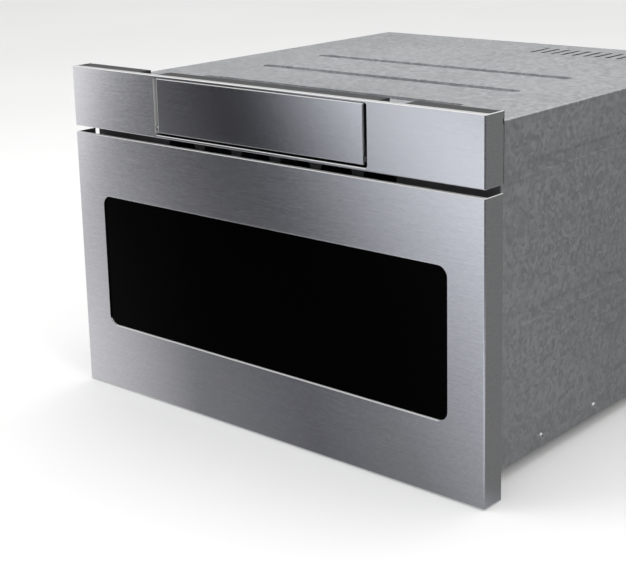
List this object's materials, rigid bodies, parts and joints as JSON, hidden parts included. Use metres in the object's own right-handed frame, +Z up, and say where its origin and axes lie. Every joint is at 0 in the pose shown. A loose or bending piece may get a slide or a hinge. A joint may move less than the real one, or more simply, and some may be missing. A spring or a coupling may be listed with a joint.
{
  "type": "microwave drawer",
  "caption": "Built-in pull-out microwave drawer with a windowed stainless front, a tilting control pod above it, slides and a rack drive.",
  "frame": {"origin": "centre of the footprint, level with the lower edge of the drawer front", "axes": "+X to the user's right, +Y into the cabinet, +Z up"},
  "size_m": [0.606, 0.59, 0.403],
  "materials": {
    "stainless": "horizontal brushed grain",
    "black_glass": "opaque black gloss",
    "tray_glass": "clear ceramic glass",
    "black_steel": "satin black enamel",
    "galvanised": "dull zinc coating",
    "cavity_paint": "grey cavity enamel",
    "black_plastic": "fine moulded texture",
    "grey_plastic": "fine moulded texture",
    "white_plastic": "natural acetal",
    "black_rubber": "matt",
    "aluminium": "plain",
    "transformer_iron": "varnished laminations",
    "circuit_board": "green solder mask"
  },
  "bodies": {
    "chassis": {"base_pan": "black_steel", "outer_wrapper": "galvanised", "back_panel": "galvanised", "front_frame": "black_steel", "cord_gland": "black_plastic", "glides": "black_rubber", "oven_cavity": "cavity_paint", "stirrer_cover": "white_plastic", "waveguide": "galvanised", "stirrer_motor": "galvanised", "magnetron": "aluminium", "high_voltage_transformer": "transformer_iron", "high_voltage_capacitor": "aluminium", "fan_housing": "black_plastic", "fan_motor": "galvanised", "air_duct": "grey_plastic", "vent_duct": "galvanised", "oven_lamp": "white_plastic", "power_board": "circuit_board", "rail_outer_left": "galvanised", "rail_outer_right": "galvanised", "drive_motor": "galvanised", "rack_guide": "white_plastic", "interlock_brackets": "white_plastic", "interlock_switches": "black_plastic", "fascia_skin": "stainless", "fascia_support_left": "black_plastic", "fascia_support_right": "black_plastic", "pod_housing": "black_plastic", "pod_motor": "galvanised", "cabinet_screws": "galvanised"},
    "drawer": {"drawer_front_skin": "stainless", "window_glass": "black_glass", "door_frame": "black_plastic", "window_screen": "black_steel", "inner_panel": "cavity_paint", "choke_cover": "black_plastic", "drawer_tub": "cavity_paint", "floor_tray": "tray_glass", "latch_hooks": "white_plastic", "front_bumpers": "black_rubber", "support_arm_left": "galvanised", "support_arm_right": "galvanised", "rail_inner_left": "galvanised", "rail_inner_right": "galvanised", "gear_rack": "white_plastic", "drawer_screws": "galvanised"},
    "control_pod": {"flap_face": "stainless", "pod_body": "black_plastic", "touch_glass": "black_glass", "control_board": "circuit_board", "hinge_pins": "galvanised", "sector_gear": "black_plastic"},
    "rail_middle_left": {"rail_middle_left": "galvanised"},
    "rail_middle_right": {"rail_middle_right": "galvanised"},
    "drive_pinion": {"drive_pinion": "white_plastic"},
    "pod_pinion": {"pod_pinion": "black_plastic"},
    "fan": {"fan_blade": "black_plastic"},
    "stirrer": {"stirrer_blade": "aluminium"}
  },
  "joints": [
    {"name": "drawer_slide", "type": "slide", "parent": "chassis", "child": "drawer", "axis": [0, -1, 0], "range_m": [0, 0.381]},
    {"name": "rail_middle_left_slide", "type": "slide", "parent": "chassis", "child": "rail_middle_left", "axis": [0, -1, 0], "range_m": [0, 0.1905]},
    {"name": "rail_middle_right_slide", "type": "slide", "parent": "chassis", "child": "rail_middle_right", "axis": [0, -1, 0], "range_m": [0, 0.1905]},
    {"name": "drive_pinion_spin", "type": "hinge", "parent": "chassis", "child": "drive_pinion", "pos_m": [0, -0.2285, 0.044], "axis": [0, 0, 1], "range_deg": [-1365, 0]},
    {"name": "pod_tilt", "type": "hinge", "parent": "chassis", "child": "control_pod", "pos_m": [0, -0.291, 0.342], "axis": [1, 0, 0], "range_deg": [0, 45]},
    {"name": "pod_pinion_spin", "type": "hinge", "parent": "chassis", "child": "pod_pinion", "pos_m": [0.155, -0.27557, 0.36039], "axis": [1, 0, 0], "range_deg": [-136, 0]},
    {"name": "fan_spin", "type": "hinge", "parent": "chassis", "child": "fan", "pos_m": [0.15, 0.27, 0.215], "axis": [0, 1, 0], "continuous": true},
    {"name": "stirrer_spin", "type": "hinge", "parent": "chassis", "child": "stirrer", "pos_m": [0, -0.041, 0.25], "axis": [0, 0, 1], "continuous": true}
  ],
  "couplings": [
    {"joint": "rail_middle_left_slide", "follows": "drawer_slide", "ratio": 0.5},
    {"joint": "rail_middle_right_slide", "follows": "drawer_slide", "ratio": 0.5},
    {"joint": "drive_pinion_spin", "follows": "drawer_slide", "rad_per_m": -62.5},
    {"joint": "pod_pinion_spin", "follows": "pod_tilt", "ratio": -3}
  ]
}
